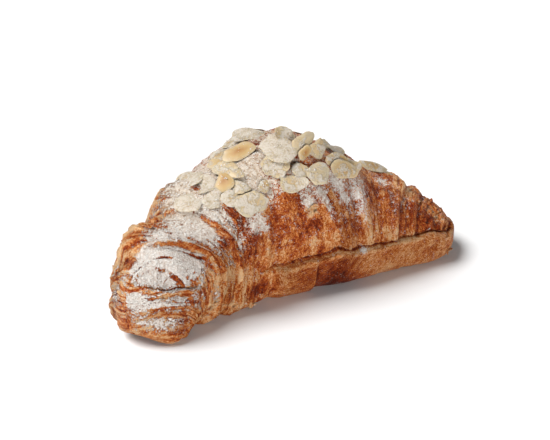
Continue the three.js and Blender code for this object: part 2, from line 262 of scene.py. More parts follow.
def noise(x, y, z, seed=0):
    """Smooth noise from 0 to 1 with features one unit across."""
    x, y, z = np.broadcast_arrays(x, y, z)
    whole = [np.floor(v).astype(np.int64) for v in (x, y, z)]
    fx, fy, fz = [ease(v - w) for v, w in zip((x, y, z), whole)]
    total = np.zeros(x.shape)
    for i in (0, 1):
        for j in (0, 1):
            for k in (0, 1):
                weight = (fx if i else 1 - fx) * (fy if j else 1 - fy) * (fz if k else 1 - fz)
                total = total + weight * lattice(whole[0] + i, whole[1] + j, whole[2] + k, seed)
    return total


def cloud(x, y, z, seed=0, octaves=3):
    """Noise with finer noise on it, from 0 to 1."""
    total, weight, sum_of_weights = 0.0, 1.0, 0.0
    for octave in range(octaves):
        scale = 2**octave
        total = total + weight * noise(x * scale, y * scale, z * scale, seed + octave)
        sum_of_weights += weight
        weight *= 0.5
    return total / sum_of_weights


# How much darker a surface is than it looks in the bright studio.
CRUST_GAIN = 0.91
SUGAR_GAIN = 0.71
ALMOND_GAIN = 0.5


def seen(gain, red, green, blue):
    """Linear colour of a surface that looks like a screen colour (0 to 255) under the studio light."""
    def channel(value):
        value /= 255
        return gain * (value / 12.92 if value <= 0.04045 else ((value + 0.055) / 1.055) ** 2.4)
    return (channel(red), channel(green), channel(blue), 1.0)


def metres(points):
    """Points in the shared frame, from points in millimetres about the start of the spine."""
    points = np.asarray(points, float).reshape(-1, 3).copy()
    points[:, :2] -= CENTRE
    return points * MM


# ---------------- the pastry's form


def station_value(along, column):
    """Smooth curve through one value of the stations."""
    places, values = STATIONS[:, 0], STATIONS[:, column]
    ends = np.concatenate([[0], np.arange(len(places)), [len(places) - 1]])
    before, after = ends[:-2], ends[2:]
    slopes = (values[after] - values[before]) / (places[after] - places[before])
    i = np.clip(np.searchsorted(places, along, side="right") - 1, 0, len(places) - 2)
    length = places[i + 1] - places[i]
    t = np.clip((along - places[i]) / length, 0, 1)
    blend = ease(t)
    leave = t * (1 - t) ** 2 * length * slopes[i]
    arrive = t * t * (t - 1) * length * slopes[i + 1]
    return values[i] * (1 - blend) + values[i + 1] * blend + leave + arrive


def spine_at(along):
    radius = np.where(along < 0, LEFT_CURL_RADIUS, RIGHT_CURL_RADIUS)
    angle = along / radius
    return radius * np.sin(angle), -radius * (1 - np.cos(angle)), angle


def section_point(along, angle):
    """Across, height, outward normal and cap factor of the plain section."""
    left = np.clip((LEFT_END + LEFT_CAP - along) / LEFT_CAP, 0, 1)
    right = np.clip((along - RIGHT_END + RIGHT_CAP) / RIGHT_CAP, 0, 1)
    cap = np.sqrt(np.clip(1 - np.maximum(left, right) ** 2, 0, 1))
    crest = station_value(along, 3)
    squash = 0.25 + 0.75 * cap
    c, s = np.cos(angle), np.sin(angle)
    width = np.maximum(np.where(c > 0, station_value(along, 1), station_value(along, 2)) * cap, 1e-3)
    height = np.where(s > 0, crest * (1 - WAIST), crest * WAIST * BASE_SINK) * squash
    power = np.where(s > 0, DOME_POWER, BASE_POWER)
    reach = (np.abs(c / width) ** power + np.abs(s / height) ** power) ** (-1 / power)
    normal = np.stack([reach * c / width**2, reach * s / height**2])
    normal = normal / np.maximum(np.linalg.norm(normal, axis=0), 1e-12)
    return reach * c, crest * WAIST + reach * s, normal, cap


def cut_height(along):
    arch = CUT_RISE * bell((along - 20) / 20) - CUT_DIP * ease((along - 72) / 18)
    return CUT_HEIGHT + arch + 0.4 * np.sin(along / 2.9)


def near_side(angle, start, blend):
    """0 on the far side and 1 on the near side: it rises over a blend from where the cosine is start."""
    return ease((np.cos(angle) - start) / blend)


def left_fan(along):
    """1 on the left half, where the layers' edges fan out, 0 elsewhere."""
    return ease((FAN_FROM - along) / FAN_BLEND)


def edge_place(at, near_lean, far_lean, angle):
    nearness = np.cos(angle)
    return at + np.where(nearness > 0, near_lean, far_lean) * nearness


def arc_length(angle, degrees):
    turn = angle - degrees * DEGREE
    return SECTION_RADIUS * np.arctan2(np.sin(turn), np.cos(turn))


def spot(along, angle, at, around, reach_along, reach_around):
    """1 at a place on the crust, fading out along it and around it."""
    return bell((along - at) / reach_along) * bell(arc_length(angle, around) / reach_around)


def layer_relief(along, angle):
    rise = 0.0
    for at, near_lean, far_lean, drop, run, proud in LAYER_EDGES:
        past = proud * (along - edge_place(at, near_lean, far_lean, angle) - np.sin(3 * angle + at))
        rise = rise + drop / 2 * np.tanh(past * 1.6) * np.exp(-np.abs(past) / run)
    upper = ease((100 - np.abs(angle) / DEGREE) / 30)
    for at, lean, depth, width in GROOVES:
        line = at + lean * np.abs(np.cos(angle)) + 0.8 * np.sin(2.3 * angle + at)
        rise = rise - depth * bell((along - line) / width) * upper
    return rise


def lump_relief(along, angle):
    upper = ease((np.sin(angle) + 0.8) / 0.8)
    swell = np.sin(along / SWELL_PITCH + 2 * np.sin(2 * angle)) * np.cos(3 * angle + along / 17)
    rise = (SWELL_HEIGHT * swell + RIPPLE_HEIGHT * np.sin(along / RIPPLE_PITCH + 4 * angle)) * upper
    for at, around, size_along, size_around, height in LUMPS:
        rise = rise + height * spot(along, angle, at, around, size_along, size_around)
    for at, around, length, _, _, _, lift, _ in FLAKES:
        spread = length * BED_SPREAD
        rise = rise + BED_SHARE * lift * spot(along, angle, at, around, spread, spread)
    return rise


def cut_relief(along, angle, height):
    open_cut = ease((along - CUT_START) / CUT_FADE) * near_side(angle, -0.25, 0.3)
    above = height - cut_height(along)
    rim = RIM_HEIGHT * bell((above + 1.8) / 1.4)
    gash = CUT_DEPTH * bell((above - 0.2) / CUT_HALF_WIDTH)
    tuck = TUCK * np.exp(-np.maximum(above, 0) / 4) * ease(above / 0.5)
    fold = FOLD_STEP * ease((11 - along) / 1.5) * ease((along + 16) / 8)
    tail = TAIL_STEP * ease((along - 74) / 12)
    base = ease(-above / WALL_EDGE) * near_side(angle, 0, 0.3)
    return open_cut * (rim - gash - tuck + (fold + tail) * base)


def tail_slide(along, height):
    """How far the slab below the cut reaches past the end of the crust above it."""
    below = ease((cut_height(along) + TAIL_BLEND / 2 - height) / TAIL_BLEND)
    return ease((along - TAIL_FROM) / 24) * (TAIL_REACH * below - TAIL_RETREAT * (1 - below))


def level_lines(along, angle, height):
    """1 where the layers lie level around the left tip, 0 elsewhere."""
    return np.maximum(ease((TIP_LINES_FROM - along) / TIP_LINES_BLEND), lobe(along, angle, height))


def layer_line(along, angle):
    """Coordinate that stays the same along a line that the layers follow."""
    places = [edge_place(at, near, far, angle) for at, near, far in LAYER_LINES]
    line = np.full(np.broadcast(along, angle).shape, float(LAYER_LINES[0][0]))
    for k in range(len(places) - 1):
        share = np.clip((along - places[k]) / (places[k + 1] - places[k]), 0, 1)
        line = line + share * (LAYER_LINES[k + 1][0] - LAYER_LINES[k][0])
    across, height = section_point(along, angle)[:2]
    tip = level_lines(along, angle, height)
    x = spine_at(along)[0] - np.sin(spine_at(along)[2]) * across
    arch = np.hypot(x - ARCH_PLACE[0], height - ARCH_PLACE[1])
    return line * (1 - tip) + tip * (TIP_LINE + arch)


def round_place(along, angle):
    """Place in the section, drawn together at both tips so that noise stays even there."""
    radius = SECTION_RADIUS * section_point(along, angle)[3]
    return np.cos(angle) * radius, np.sin(angle) * radius


def lobe_edge_distance(along, height):
    """How far below the edge of the lowest layer at the left tip."""
    edge = LOBE_EDGE_HEIGHT - LOBE_EDGE_SLOPE * (along - LOBE_EDGE_FROM)
    return edge - LOBE_EDGE_DIP * bell((along - LOBE_DIP_PLACE) / LOBE_DIP_REACH) - height


def lobe(along, angle, height):
    """1 on the lowest layer at the left tip, 0 elsewhere."""
    reach = ease((LOBE_END - along) / LOBE_FADE) * near_side(angle, -0.5, 0.4)
    return reach * ease(lobe_edge_distance(along, height) / LOBE_BLEND + 0.5)


def lobe_crack(along, angle, height):
    """How open the crack above the lowest layer's edge is, from 0 to 0.8."""
    reach = ease((LOBE_END - 6 - along) / 8) * near_side(angle, -0.5, 0.4)
    wobble = 1.6 * (cloud(along / 4, 0, 0, 67, 2) - 0.5)
    below = lobe_edge_distance(along, height) + wobble + 0.4
    return 0.8 * reach * bell(below / LOBE_CRACK_HALF_WIDTH)


def leaves(line, x, y, pitch, warp, seed):
    """Overlapping torn sheets, from 0 to about 1: each is sharp at its edge and thins out inwards."""
    outward = np.where(line < OUTERMOST, 1.0, -1.0)
    ragged = warp * (cloud(line / 7, x / 7, y / 7, seed) - 0.5)
    fine = 0.5 * (noise(line / 1.3, x / 1.6, y / 1.6, seed + 40) - 0.5)
    u = outward * (line - OUTERMOST + ragged + fine) / pitch
    sheet = np.floor(u)
    inward = u - sheet
    present = ease((noise(sheet * 3.7, x / 9, y / 9, seed + 80) - 0.3) / 0.35)
    return present * np.minimum(inward / 0.12, 1) * (1 - inward) ** 0.8


def far_fan(along, angle):
    """1 where the layers of the left half show their edges on the far side, 0 elsewhere."""
    degrees = angle / DEGREE
    far = ease((degrees - 96) / 20) * ease((215 - degrees) / 30)
    return ease((FAR_FAN_FROM - along) / FAR_FAN_BLEND) * far


def crests(line, x, y, pitch, reach, seed):
    """Sharp ridges that follow the layers, from about -0.35 to 0.65."""
    return (1 - np.abs(2 * noise(line / pitch, x / reach, y / reach, seed) - 1)) ** 2 - 0.35


def flaky_relief(along, angle):
    """Fine lamination that follows the layers, and the crackle of the crust."""
    line = layer_line(along, angle)
    x, y = round_place(along, angle)
    fan = left_fan(along)
    frayed = ease((along - FRAY_FROM) / FRAY_BLEND)
    warp = WARP * (cloud(along / WARP_PITCH, x / WARP_PITCH, y / WARP_PITCH, 11) - 0.5)
    pleats = noise(line / PLEAT_PITCH, x / PLEAT_REACH, y / PLEAT_REACH, 97) - 0.5
    pleats = pleats * (0.35 + 0.65 * ease((y - 2) / 12))
    rise = (RIDGE_HEIGHT + RIDGE_ON_FAN * fan) * crests(line + warp, x, y, RIDGE_PITCH, RIDGE_REACH, 3)
    rise = rise + PLEAT_HEIGHT * (1 - fan) * pleats
    for pitch, ragged, seed, height, on_fan, on_frayed in SHEETS:
        height = height + on_fan * fan + on_frayed * frayed
        rise = rise + height * (leaves(line, x, y, pitch, ragged, seed) - 0.4)
    laminae = crests(line + 0.6 * warp, x, y, LAMINA_PITCH, LAMINA_REACH, 5)
    rise = rise + LAMINA_HEIGHT * far_fan(along, angle) * laminae
    for pitch, reach, seed, height in CRACKLE:
        rise = rise + height * (cloud(along / pitch, x / reach, y / reach, seed, 2) - 0.5)
    rise = rise + layer_lips(line, x, y)[0]
    bare = 1.0
    for at, around, length, _, _, _, _, _ in FLAKES:
        spread = length * CALM_SPREAD
        bare = bare * (1 - 0.9 * spot(along, angle, at, around, spread, spread))
    return rise * bare


def layer_lips(line, x, y):
    """Height of the thin double lips on the layers' edges, and how strongly they show there."""
    height, mark = 0.0, 0.0
    for at, _, _, drop, _, proud in LAYER_EDGES:
        past = proud * (line - at) + 1.6 * (noise(line / 4, x / 5, y / 5, 71) - 0.5)
        present = ease(noise(at, x / 8, y / 8, 73) * 1.6 - 0.2) * (drop / 3.4) ** 2
        height = height + present * (0.9 * bell((past - 1.0) / 0.7) + 0.6 * bell((past - 3.2) / 0.6))
        mark = mark + present * (bell((past - 0.7) / 0.7) + 0.6 * bell((past - 3.0) / 0.5))
    return height, mark


def crust_surface(along, angle, baked=True):
    """Points of the crust and the height that its relief adds."""
    along, angle = np.broadcast_arrays(np.asarray(along, float), np.asarray(angle, float))
    across, height, normal, cap = section_point(along, angle)
    rise = np.zeros(along.shape)
    if baked:
        wall = base_wall(along, angle, height)
        rise = layer_relief(along, angle) * (1 - 0.85 * wall) + cut_relief(along, angle, height)
        rise = rise + lump_relief(along, angle)
        above_floor = ease((height - 0.5) / 8)
        filled = 1 - SUGAR_FILL * np.minimum(patches(along, angle, SUGAR_PATCHES), 1)
        rise = rise + flaky_relief(along, angle) * (0.12 + 0.88 * above_floor) * (1 - 0.7 * wall) * filled
        rise = rise + wall * wall_folds(along, height) * above_floor
        rise = rise + ragged_tip(along, angle, height) * above_floor
        rise = rise - CRACK_DEPTH * (cracks(along, angle) + lobe_crack(along, angle, height))
        below = lobe_edge_distance(along, height)
        rise = rise + LOBE_STEP * lobe(along, angle, height) * np.exp(-np.maximum(below, 0) / LOBE_TAPER)
    rise = rise * np.minimum(cap * 1.3, 1)
    out = across + normal[0] * rise
    z = np.maximum(height + normal[1] * rise, 0)
    x, y, turn = spine_at(along + tail_slide(along, height))
    return np.stack([x - np.sin(turn) * out, y - np.cos(turn) * out, z], -1), rise


def base_wall(along, angle, height):
    """1 on the smoother wall below the cut, 0 elsewhere."""
    below = ease((cut_height(along) - height) / WALL_EDGE)
    return below * ease((along - WALL_START) / WALL_FADE) * near_side(angle, -0.3, 0.3)


def wall_folds(along, height):
    """Soft folds that climb the wall towards the right."""
    slant = along - WALL_SLANT * height
    broad = noise(slant / 5, height / 30, 0, 83) - 0.5
    narrow = noise(slant / 2.2, height / 12, 0, 84) - 0.5
    return BROAD_FOLD * broad + NARROW_FOLD * narrow


def ragged_tip(along, angle, height):
    """Torn ends of the layers at the right tip, above the cut and below it."""
    end = ease((along - RAGGED_FROM) / RAGGED_BLEND)
    return end * RAGGED_HEIGHT * (cloud(along / 3.2, angle * 3.5, height / 2.6, 87, 2) - 0.5)


def cracks(along, angle):
    """1 along the thin cracks at the left tip, 0 elsewhere."""
    degrees = angle / DEGREE
    total = 0.0
    for at, lean, start, stop in CRACKS:
        wobble = 1.2 * (noise(degrees / 11, at, 0, 65) - 0.5)
        line = at + lean * np.cos(angle) + wobble
        reach = ease((degrees - start) / 8) * ease((stop - degrees) / 8)
        total = total + reach * bell((along - line) / CRACK_HALF_WIDTH)
    return total


def angle_at_height(along, height):
    """Angle at which the near side reaches a height."""
    low = np.full(along.shape, -85 * DEGREE)
    high = np.full(along.shape, 60 * DEGREE)
    for _ in range(24):
        middle = (low + high) / 2
        under = section_point(along, middle)[1] < height
        low, high = np.where(under, middle, low), np.where(under, high, middle)
    return (low + high) / 2


# ---------------- the crust's grid

ROWS = 436
UNDER_COLUMNS = 26
CUT_OFFSETS = np.concatenate([
    np.linspace(-4, -1.2, 5),
    np.linspace(-0.9, 1.2, 10),
    np.linspace(1.6, 3.4, 3),
])
DOME_COLUMNS = 150
FAR_BASE_COLUMNS = 28
END_CROWDING = 0.11


def crust_grid():
    t = np.arange(1, ROWS) / ROWS
    along = LEFT_END + (RIGHT_END - LEFT_END) * (t - END_CROWDING * np.sin(2 * math.pi * t))
    cut = [angle_at_height(along, cut_height(along) + offset) for offset in CUT_OFFSETS]
    start, dome, stop = -90 * DEGREE, 180 * DEGREE, 270 * DEGREE

    def spread(low, high, count):
        return [low + (high - low) * i / count for i in range(count)]

    columns = spread(start + 0 * along, cut[0], UNDER_COLUMNS)
    columns += cut
    columns += spread(cut[-1], dome + 0 * along, DOME_COLUMNS)[1:]
    columns += spread(dome + 0 * along, stop + 0 * along, FAR_BASE_COLUMNS)
    angle = np.stack(columns, 1)
    return np.broadcast_to(along[:, None], angle.shape), angle


def grid_normals(points):
    along = np.gradient(points, axis=0)
    around = np.roll(points, -1, 1) - np.roll(points, 1, 1)
    normal = np.cross(along, around)
    return normal / np.maximum(np.linalg.norm(normal, axis=-1, keepdims=True), 1e-9)


def blurred(field, steps):
    for _ in range(steps):
        field = (field + np.roll(field, 1, 1) + np.roll(field, -1, 1)) / 3
        before = np.concatenate([field[:1], field[:-1]])
        after = np.concatenate([field[1:], field[-1:]])
        field = (field + before + after) / 3
    return field


def skin_faces(rows, columns):
    """Quads between the rows and triangles to the two end points."""
    row, column = np.meshgrid(np.arange(rows - 1), np.arange(columns), indexing="ij")
    after = (column + 1) % columns
    corner = [row * columns + column, row * columns + after]
    corner += [(row + 1) * columns + after, (row + 1) * columns + column]
    quads = 1 + np.stack(corner, -1).reshape(-1, 4)
    first = np.arange(columns)
    following = (first + 1) % columns
    start = np.stack([0 * first, 1 + following, 1 + first], -1)
    last_row = 1 + (rows - 1) * columns
    end_point = 1 + rows * columns
    end = np.stack([0 * first + end_point, last_row + first, last_row + following], -1)
    return quads.tolist() + start.tolist() + end.tolist()


def put_in_scene(name, data):
    thing = bpy.data.objects.new(name, data)
    bpy.context.collection.objects.link(thing)
    return thing


def new_piece(name, points, faces, material):
    mesh = bpy.data.meshes.new(name)
    mesh.from_pydata(metres(points).tolist(), [], faces)
    mesh.validate()
    mesh.polygons.foreach_set("use_smooth", [True] * len(mesh.polygons))
    mesh.materials.append(material)
    return put_in_scene(name, mesh)


def add_values(piece, name, values):
    values = np.asarray(values, np.float32)
    kind = "FLOAT_VECTOR" if values.ndim == 2 else "FLOAT"
    layer = piece.data.attributes.new(name, kind, "POINT")
    layer.data.foreach_set("vector" if values.ndim == 2 else "value", values.ravel())


# ---------------- looks of the crust, point by point

# Where sugar lies thick: along, around, reach along, reach around in mm, strength.
SUGAR_PATCHES = [
    (-70, 78, 5, 10, 1.1),
    (-65, 60, 6, 9, 1.2),
    (-58, 50, 5, 8, 1.1),
    (-66, 40, 5, 7, 1),
    (-60, 24, 5, 6, 0.8),
    (-53, 28, 3, 6, 0.9),
    (-80.5, 68, 3, 9, 1),
    (-61, 83, 3, 7, 0.6),
    (-54, 73, 3, 6, 0.8),
    (-47, 60, 3, 6, 0.8),
    (-44, 45, 2.5, 4, 0.6),
    (-45, 76, 6, 8, 0.9),
    (-40, 60, 5, 7, 0.7),
    (-35.5, 38, 2.5, 6, 0.5),
    (-42, 100, 10, 14, 0.5),
    (-33, 120, 10, 14, 0.35),
    (-20, 94, 14, 20, 0.5),
    (-24, 33, 2.5, 4, 0.8),
    (-18.5, 33, 3, 4, 0.7),
    (-15, 23, 2.5, 4, 0.5),
    (-32.5, 23, 2.5, 6, 0.5),
    (-17, 66, 12, 13, 0.45),
    (0, 80, 17, 18, 0.42),
    (6, 42, 3, 4, 0.6),
    (14.5, 40, 3, 3, 0.5),
    (16.5, 33, 2.5, 3, 0.5),
    (18.5, 25, 2, 4, 0.45),
    (22.5, 14, 1.6, 4, 0.45),
    (25, 49, 4, 3, 0.9),
    (27, 37, 3, 2.5, 0.6),
    (33, 45, 6, 7, 0.3),
    (39.5, 58, 5, 6, 0.35),
    (38.5, 44, 3.5, 5, 0.4),
    (37, 28, 3, 6, 0.35),
    (36, 14, 2.2, 5, 0.3),
    (46, 50, 6, 8, 0.12),
    (54.5, 78, 3, 5, 0.7),
    (57, 44, 4, 8, 0.2),
    (8, 33, 2, 2, 0.8),
    (-60, 122, 12, 9, -0.6),
    (-68, 113, 6, 8, -0.4),
    (-36, 130, 6, 7, -0.4),
    (-80, 0, 12, 20, 0.3),
    (-55, -5, 12, 10, 0.2),
]
# Where the crust is darker (or paler): along, around, reach along, reach around, amount.
BROWN_PATCHES = [
    (-26.4, 24, 5, 6, 0.3),
    (-39.3, 36, 2, 2.5, 0.5),
    (-31, 54, 2.5, 3.5, 0.45),
    (-28.5, 46, 4, 4, 0.35),
    (-34.9, 90, 2, 2, 0.6),
    (-4.2, 92, 4, 3, 0.35),
    (-7.3, 65, 3, 3, 0.35),
    (-31.2, 62, 2.5, 2.5, 0.35),
    (-1.5, 44, 5, 4, 0.25),
    (8, 20, 10, 8, 0.12),
    (58, 26, 6, 8, 0.15),
    (48, 57, 8, 9, 0.18),
    (-13, 44, 6, 8, 0.1),
    (-15, 22, 8, 6, 0.06),
    (2, 36, 6, 7, 0.1),
    (75, 33, 9, 8, 0.25),
    (66, 21, 7, 7, 0.15),
    (23, -40, 14, 9, 0.7),
    (-22, -34, 5, 6, 0.28),
    (-78.5, 84, 2.5, 7, 0.15),
    (-60, 0, 12, 16, 0.04),
    (-8, -28, 16, 12, -0.08),
    (52, -24, 26, 10, -0.16),
    (80, -10, 8, 10, -0.12),
    (64, 8, 14, 7, -0.22),
    (22, 2, 6, 5, -0.12),
    (-34, 58, 5, 5, -0.2),
    (68, 77, 2.5, 10, -0.4),
    (81.5, 53, 3, 8, -0.3),
    (62.5, 49, 1.2, 10, -0.3),
    (-38, 5, 8, 20, -0.12),
    (8, 28, 2.2, 3, -1.6),
    (-48, -26, 3, 2.5, -0.5),
    (-36, -34, 3, 2, -0.5),
    (-40, -22, 3, 3, 0.3),
    (-27, -25, 3, 3, 0.35),
    (-25, -42, 3, 2, -0.4),
    (-19, -39, 3, 2, -0.4),
    (-66, 125, 14, 14, -0.22),
    (-42, 124, 12, 12, -0.2),
    (-80, 0, 10, 30, -0.12),
    (-74, 160, 20, 30, -0.1),
]
# The creamy crest between the almonds: along, around, reach along, reach around, amount.
CREAM_PATCHES = [
    (-22, 88, 26, 26, 0.9),
    (8, 84, 24, 22, 0.9),
    (-48, 100, 14, 16, 0.5),
]


def patches(along, angle, table):
    total = 0.0
    for at, around, reach_along, reach_around, amount in table:
        total = total + amount * spot(along, angle, at, around, reach_along, reach_around)
    return total


# Spots on the near side of the left tip: place along X, height, reach along X, reach in height,
# brown, sugar.
TIP_PATCHES = [
    (-71.5, 24.6, 4, 1.4, -0.15, -0.9),
    (-62, 22, 5, 1, -0.2, -0.5),
    (-64, 28.5, 5, 2.5, 0, 0.8),
    (-70, 30, 4, 2, 0, 0.5),
    (-56, 27, 4, 3, 0, 0.5),
    (-73, 20.6, 4.5, 2.4, 0, 0.8),
    (-66, 20.5, 3, 1.5, 0, 0.4),
    (-60, 18.5, 7, 3, 0.15, 0.4),
    (-50, 16, 7, 5, 0.1, 0.4),
    (-70, 13.5, 6, 2.5, 0, 0.4),
    (-64, 9.5, 6, 3, -0.12, 0.15),
    (-76, 12, 4, 6, -0.15, 0.1),
    (-82, 17, 3.5, 9, -0.3, 0.15),
    (-79, 32, 4, 8, -0.35, 0.12),
    (-56, 5.5, 7, 3.5, 0.1, 0.2),
    (-47, 23, 4, 3, -0.25, 0),
    (-38, 17, 6, 7, -0.25, -0.1),
]


def tip_patches(angle, points):
    """How much browner and how much sweeter the near side of the left tip is."""
    near = near_side(angle, -0.2, 0.2)
    brown, sugar = 0.0, 0.0
    for x, height, reach_x, reach_height, browner, sweeter in TIP_PATCHES:
        there = near * bell((points[..., 0] - x) / reach_x)
        there = there * bell((points[..., 2] - height) / reach_height)
        brown = brown + browner * there
        sugar = sugar + sweeter * there
    return brown, sugar


BASE_BROWN = 0.44
STREAKS, STREAKS_PITCH, STREAKS_REACH = 0.6, 1.8, 9.0
MOTTLE, MOTTLE_ON_WALL, MOTTLE_PITCH = 0.6, 0.25, 7.0
PROUD_HEIGHT = 0.6  # a rise above its surroundings that counts as fully proud
# cracks show the browner crust under the sugar and are darkened further with painted shade in them
CRACK_BROWN_AND_SHADE, FOLD_SHADE_AMOUNT, LIP_BROWN = 0.5, 0.4, 0.12
WALL_FOLD_SHADE = (11, 0.06, 10, 17)  # painted shade along the fold in the wall: place along, slant, its height, its top
BASE_SUGAR = 0.14
TIP_DUST, TIP_DUST_FROM, TIP_DUST_BLEND = 0.16, -62.0, 12.0
TOP_DUST, TOP_DUST_LOSS, TOP_DUST_FROM, TOP_DUST_BLEND = 0.36, 0.22, 12.0, 30.0
DRIFTS, DRIFTS_PITCH = 0.5, 5.0
MOST_SUGAR = 1.3


def upward(points):
    """How far the crust faces up, from -1 to 1."""
    up = grid_normals(points)[..., 2]
    crest = UNDER_COLUMNS + len(CUT_OFFSETS) + DOME_COLUMNS // 2
    return -up if np.median(up[:, crest]) < 0 else up


def near_cut(along, angle):
    """1 on the near side along the open cut, 0 elsewhere."""
    return ease((along - CUT_START) / CUT_FADE) * near_side(angle, 0, 0.2)


def plain_brown_and_shade(along, angle, proud, wall):
    """Brown of the plain crust: streaks along the layers and mottle, with painted shade that darkens the
    hollows between the ridges and lightens the ridges, most on the far side of the left half and none on
    its near side.
    """
    x, y = round_place(along, angle)
    line = layer_line(along, angle)
    streaks = cloud(line / STREAKS_PITCH, x / STREAKS_REACH, y / STREAKS_REACH, 31) - 0.5
    mottle = cloud(along / MOTTLE_PITCH, x / MOTTLE_PITCH, y / MOTTLE_PITCH, 37) - 0.5
    fan = left_fan(along)
    brown = BASE_BROWN - 0.05 * fan + STREAKS * (1 - wall) * streaks
    brown = brown + (MOTTLE * (1 - wall) + MOTTLE_ON_WALL * wall) * mottle
    # painted shade: crust lying below its surroundings is browner, crust standing proud is paler
    return brown + (0.2 * fan - 0.2 - 0.4 * far_fan(along, angle)) * proud


def cut_shade_and_rim(along, above):
    """Painted shade in the cut as a dark line, a stronger painted fold shadow over one stretch of the
    cut, and the pale broken rim below it.
    """
    # painted shade in the narrow cut
    line = (0.15 + 0.15 * ease((along - 5) / 15)) * bell((above - 0.25) / 0.3)
    rim = 0.2 * (0.4 + 0.6 * noise(along / 3, 0, 0, 43)) * bell((above + 0.45) / 0.3)
    # painted shadow of a fold over the cut, strongest near along 5
    painted_fold_shadow = 0.35 * bell((along - 5) / 6) * bell((above - 0.1) / 0.9)
    return line - rim + painted_fold_shadow


def wall_fold(along, height):
    """1 along the fold in the wall below the cut, where its shade is painted, 0 elsewhere."""
    at, slant, middle, top = WALL_FOLD_SHADE
    return bell((along - at - slant * (height - middle)) / 0.7) * ease((top - height) / 3)


def fallen_sugar(along, angle, up):
    """Sugar that fell on the crust, thin everywhere and thick in patches."""
    x, y = round_place(along, angle)
    tip = TIP_DUST * ease((TIP_DUST_FROM - along) / TIP_DUST_BLEND)
    top = TOP_DUST - TOP_DUST_LOSS * ease((along - TOP_DUST_FROM) / TOP_DUST_BLEND)
    drifts = cloud(along / DRIFTS_PITCH, x / DRIFTS_PITCH, y / DRIFTS_PITCH, 41) - 0.5
    thick = ease((up + 0.1) / 0.5) * patches(along, angle, SUGAR_PATCHES)
    return BASE_SUGAR + tip + top * ease((up - 0.05) / 0.75) + thick + DRIFTS * drifts


def crust_looks(along, angle, points, rise):
    """How brown the crust is, with painted shade in its hollows, cracks, cut and wall fold, how thick the
    sugar lies on it, and how far it faces up.
    """
    height = points[..., 2]
    above = height - cut_height(along)
    wall = base_wall(along, angle, height)
    near = near_cut(along, angle)
    up = upward(points)
    proud = np.clip((rise - blurred(rise, 8)) / PROUD_HEIGHT, -1, 1)
    split = cracks(along, angle) + lobe_crack(along, angle, section_point(along, angle)[1])
    lips = layer_lips(layer_line(along, angle), *round_place(along, angle))[1]
    tip_brown, tip_sugar = tip_patches(angle, points)
    browner = patches(along, angle, BROWN_PATCHES) + tip_brown
    brown = plain_brown_and_shade(along, angle, proud, wall) + browner + near * cut_shade_and_rim(along, above)
    brown = brown + CRACK_BROWN_AND_SHADE * split + FOLD_SHADE_AMOUNT * wall * wall_fold(along, height) + LIP_BROWN * lips
    sugar = fallen_sugar(along, angle, up) + tip_sugar - (0.12 + 0.15 * left_fan(along)) * proud
    sugar = sugar - 1.3 * np.maximum(browner, 0) - 1.2 * split
    sugar = sugar * ease((up + 0.3) / 0.4) * (1 - 0.92 * near * ease((1.6 - above) / 1.5))
    rim_sugar = 1.2 * bell((along - 36.5) / 2) * bell((above + 0.8) / 1.2) * near
    return brown, np.clip(sugar + rim_sugar - 0.5 * lips, 0, MOST_SUGAR), up


def layer_place(along, angle, points, wall):
    """Places for the fibres of the crust: across the layers and along them."""
    girth = SECTION_RADIUS * section_point(along, angle)[3]
    tip = level_lines(along, angle, points[..., 2])
    across = layer_line(along, angle) - 1.6 * wall * points[..., 2]
    around = angle * girth * (1 - tip) + points[..., 0] * tip
    return np.stack([across, around, 0 * along], -1)


def with_ends(values):
    """Values of the grid as a list, with one more for each end point of the skin."""
    values = values.reshape(-1, *values.shape[2:])
    return np.concatenate([values[:1], values, values[-1:]])


def crust_piece(material):
    along, angle = crust_grid()
    points, rise = crust_surface(along, angle)
    ends = [crust_surface(end, 0, baked=False)[0].reshape(1, 3) for end in (LEFT_END, RIGHT_END)]
    everything = np.concatenate([ends[0], points.reshape(-1, 3), ends[1]])
    piece = new_piece("croissant_crust", everything, skin_faces(*along.shape), material)
    brown, sugar, up = crust_looks(along, angle, points, rise)
    wall = base_wall(along, angle, points[..., 2])
    looks = dict(
        # brown holds the crust's own browns together with its painted shade
        brown=brown,
        sugar=sugar,
        place=layer_place(along, angle, points, wall),
        wall=wall,
        fan=left_fan(along) + 0.6 * far_fan(along, angle),
        cream=patches(along, angle, CREAM_PATCHES),
    )
    for name, values in looks.items():
        add_values(piece, name, with_ends(values))
    return piece, dict(points=points, sugar=sugar, up=up)


# ---------------- almonds


def crust_frame(along, angle):
    """Directions of the plain crust: along it, around it and out of it."""
    step = 1e-3

    def point(a, b):
        return crust_surface(a, b, baked=False)[0]

    forward = point(along + step, angle) - point(along - step, angle)
    forward = forward / np.linalg.norm(forward)
    around = point(along, angle + step) - point(along, angle - step)
    out = -np.cross(around, forward)
    out = out / np.linalg.norm(out)
    return forward, np.cross(out, forward), out


def turn_about_x(angle):
    c, s = math.cos(angle), math.sin(angle)
    return np.array([[1, 0, 0], [0, c, -s], [0, s, c]])


def turn_about_z(angle):
    c, s = math.cos(angle), math.sin(angle)
    return np.array([[c, -s, 0], [s, c, 0], [0, 0, 1]])


def set_on_crust(local, at, around, lift, turn, tip, baked=False):
    """A thin thing's points put onto the plain or the baked crust, and how far it faces up."""
    angle = around * DEGREE
    basis = np.stack(crust_frame(at, angle), 1)
    seat = crust_surface(at, angle, baked)[0] + basis[:, 2] * lift
    tipped = basis @ turn_about_x(tip * DEGREE)
    return local @ (tipped @ turn_about_z(turn * DEGREE)).T + seat, tipped[2, 2]


